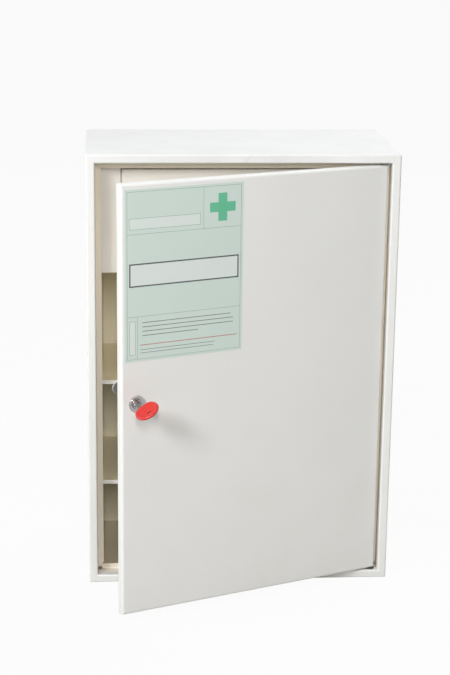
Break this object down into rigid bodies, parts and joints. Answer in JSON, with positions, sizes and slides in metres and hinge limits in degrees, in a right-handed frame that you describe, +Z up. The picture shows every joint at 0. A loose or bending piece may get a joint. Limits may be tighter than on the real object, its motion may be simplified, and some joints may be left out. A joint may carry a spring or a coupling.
{
  "type": "lockable medicine cabinet",
  "caption": "Wall cabinet of folded sheet steel with shelves, a small inner locker and a right-hung locking door standing ajar with its key.",
  "frame": {"origin": "middle of the cabinet's underside, on the outer face of the bottom panel, the door not counted", "axes": "+X to the right as seen from the front, +Y to the back (towards the wall), +Z up"},
  "size_m": [0.416, 0.4067, 0.6],
  "materials": {
    "coated_steel": "satin off-white powder coat",
    "plated_steel": "zinc plated",
    "chromed_zinc": "polished",
    "nylon": "matte dark grey",
    "rubber": "matte",
    "label_film": "satin printed film",
    "red_plastic": "gloss moulded"
  },
  "bodies": {
    "cabinet": {"left_panel": "coated_steel", "right_panel": "coated_steel", "top_panel": "coated_steel", "bottom_panel": "coated_steel", "back_panel": "coated_steel", "upper_shelf": "coated_steel", "lower_shelf": "coated_steel", "shelf_rails": "coated_steel", "locker_floor": "coated_steel", "locker_frame": "coated_steel", "pivot_bushes": "nylon"},
    "door": {"door_pan": "coated_steel", "door_stiffener": "coated_steel", "pivot_blocks": "plated_steel", "pivot_pins": "plated_steel", "door_buffers": "rubber", "door_label": "label_film", "lock_housing": "chromed_zinc", "lock_nut": "chromed_zinc"},
    "lock": {"lock_plug": "chromed_zinc", "lock_cam": "plated_steel", "cam_screw": "plated_steel"},
    "key": {"key_blade": "plated_steel", "key_head": "red_plastic"},
    "locker_door_body": {"locker_door": "coated_steel", "locker_pivot_blocks": "plated_steel", "locker_pivot_pins": "plated_steel", "locker_lock_housing": "chromed_zinc", "locker_lock_nut": "chromed_zinc"},
    "locker_lock": {"locker_lock_plug": "chromed_zinc", "locker_lock_cam": "plated_steel", "locker_cam_screw": "plated_steel"}
  },
  "joints": [
    {"name": "door_hinge", "type": "hinge", "parent": "cabinet", "child": "door", "pos_m": [0.1863, -0.106, 0.011], "axis": [0, 0, 1], "range_deg": [-22.2, 87.8]},
    {"name": "lock_turn", "type": "hinge", "parent": "door", "child": "lock", "pos_m": [-0.14429, -0.24631, 0.3015], "axis": [0.3778, -0.9259, 0], "range_deg": [-45, 45]},
    {"name": "key_slide", "type": "slide", "parent": "lock", "child": "key", "axis": [0.3778, -0.9259, 0], "range_m": [0, 0.03]},
    {"name": "locker_door_hinge", "type": "hinge", "parent": "cabinet", "child": "locker_door_body", "pos_m": [0.1565, -0.076, 0.4585], "axis": [0, 0, 1], "range_deg": [0, 24]},
    {"name": "locker_lock_turn", "type": "hinge", "parent": "locker_door_body", "child": "locker_lock", "pos_m": [-0.1405, -0.08, 0.5175], "axis": [0, -1, 0], "range_deg": [0, 90]}
  ]
}
